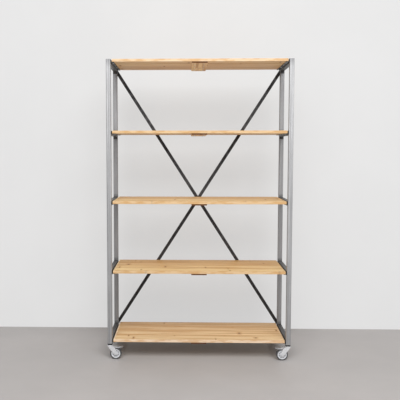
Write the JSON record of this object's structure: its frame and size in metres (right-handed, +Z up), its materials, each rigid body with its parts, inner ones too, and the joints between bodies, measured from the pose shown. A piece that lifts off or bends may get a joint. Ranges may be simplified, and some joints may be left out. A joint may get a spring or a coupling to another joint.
{
  "type": "shelving unit on castors",
  "caption": "Open shelving unit with square steel tube side frames, plank shelves, a flat-bar X brace across the back and swivel castors.",
  "frame": {"origin": "on the floor, under the middle of the unit's bounding box", "axes": "+Z up, +X to the right seen from the front, +Y towards the back, where the X brace is"},
  "size_m": [1.208, 0.4646, 1.958],
  "materials": {
    "steel_tube": "satin, clear lacquered",
    "flat_bar_steel": "dark mill scale",
    "pine": "planed and oiled",
    "zinc": "bright zinc plate",
    "hub_plastic": "moulded, light grey",
    "tyre_rubber": "moulded, dark grey",
    "plug_plastic": "moulded, black"
  },
  "bodies": {
    "frame": {"left_front_upright": "steel_tube", "left_rear_upright": "steel_tube", "right_front_upright": "steel_tube", "right_rear_upright": "steel_tube", "bottom_shelf_plank_1": "pine", "bottom_shelf_plank_2": "pine", "bottom_shelf_plank_3": "pine", "bottom_shelf_plank_4": "pine", "bottom_shelf_cleat": "pine", "lower_shelf_plank_1": "pine", "lower_shelf_plank_2": "pine", "lower_shelf_plank_3": "pine", "lower_shelf_plank_4": "pine", "lower_shelf_cleat": "pine", "middle_shelf_plank_1": "pine", "middle_shelf_plank_2": "pine", "middle_shelf_plank_3": "pine", "middle_shelf_plank_4": "pine", "middle_shelf_cleat": "pine", "upper_shelf_plank_1": "pine", "upper_shelf_plank_2": "pine", "upper_shelf_plank_3": "pine", "upper_shelf_plank_4": "pine", "upper_shelf_cleat": "pine", "top_shelf_plank_1": "pine", "top_shelf_plank_2": "pine", "top_shelf_plank_3": "pine", "top_shelf_plank_4": "pine", "top_shelf_cleat": "pine", "shelf_screws": "zinc", "left_side_rails": "steel_tube", "left_shelf_ledges": "flat_bar_steel", "right_side_rails": "steel_tube", "right_shelf_ledges": "flat_bar_steel", "brace_rising_right": "flat_bar_steel", "brace_rising_left": "flat_bar_steel", "brace_rivet": "flat_bar_steel", "brace_bolts": "flat_bar_steel", "upright_caps": "steel_tube", "upright_end_plugs": "plug_plastic", "castor_stems": "zinc", "swivel_races": "zinc"},
    "left_front_fork": {"left_front_castor_fork": "zinc", "left_front_castor_axle": "zinc"},
    "left_front_wheel": {"left_front_wheel_hub": "hub_plastic", "left_front_tyre": "tyre_rubber"},
    "left_front_brake": {"left_front_castor_brake": "zinc"},
    "left_rear_fork": {"left_rear_castor_fork": "zinc", "left_rear_castor_axle": "zinc"},
    "left_rear_wheel": {"left_rear_wheel_hub": "hub_plastic", "left_rear_tyre": "tyre_rubber"},
    "right_front_fork": {"right_front_castor_fork": "zinc", "right_front_castor_axle": "zinc"},
    "right_front_wheel": {"right_front_wheel_hub": "hub_plastic", "right_front_tyre": "tyre_rubber"},
    "right_front_brake": {"right_front_castor_brake": "zinc"},
    "right_rear_fork": {"right_rear_castor_fork": "zinc", "right_rear_castor_axle": "zinc"},
    "right_rear_wheel": {"right_rear_wheel_hub": "hub_plastic", "right_rear_tyre": "tyre_rubber"}
  },
  "joints": [
    {"name": "left_front_castor_swivel", "type": "hinge", "parent": "frame", "child": "left_front_fork", "pos_m": [-0.585, -0.2115, 0.0895], "axis": [0, 0, 1], "continuous": true},
    {"name": "left_front_wheel_spin", "type": "hinge", "parent": "left_front_fork", "child": "left_front_wheel", "pos_m": [-0.547, -0.2115, 0.038], "axis": [0, 1, 0], "continuous": true},
    {"name": "left_front_brake_press", "type": "hinge", "parent": "left_front_fork", "child": "left_front_brake", "pos_m": [-0.561, -0.2115, 0.0815], "axis": [0, 1, 0], "range_deg": [0, 8]},
    {"name": "left_rear_castor_swivel", "type": "hinge", "parent": "frame", "child": "left_rear_fork", "pos_m": [-0.585, 0.2085, 0.0895], "axis": [0, 0, 1], "continuous": true},
    {"name": "left_rear_wheel_spin", "type": "hinge", "parent": "left_rear_fork", "child": "left_rear_wheel", "pos_m": [-0.547, 0.2085, 0.038], "axis": [0, 1, 0], "continuous": true},
    {"name": "right_front_castor_swivel", "type": "hinge", "parent": "frame", "child": "right_front_fork", "pos_m": [0.585, -0.2115, 0.0895], "axis": [0, 0, 1], "continuous": true},
    {"name": "right_front_wheel_spin", "type": "hinge", "parent": "right_front_fork", "child": "right_front_wheel", "pos_m": [0.547, -0.2115, 0.038], "axis": [0, 1, 0], "continuous": true},
    {"name": "right_front_brake_press", "type": "hinge", "parent": "right_front_fork", "child": "right_front_brake", "pos_m": [0.561, -0.2115, 0.0815], "axis": [0, -1, 0], "range_deg": [0, 8]},
    {"name": "right_rear_castor_swivel", "type": "hinge", "parent": "frame", "child": "right_rear_fork", "pos_m": [0.585, 0.2085, 0.0895], "axis": [0, 0, 1], "continuous": true},
    {"name": "right_rear_wheel_spin", "type": "hinge", "parent": "right_rear_fork", "child": "right_rear_wheel", "pos_m": [0.547, 0.2085, 0.038], "axis": [0, 1, 0], "continuous": true}
  ]
}
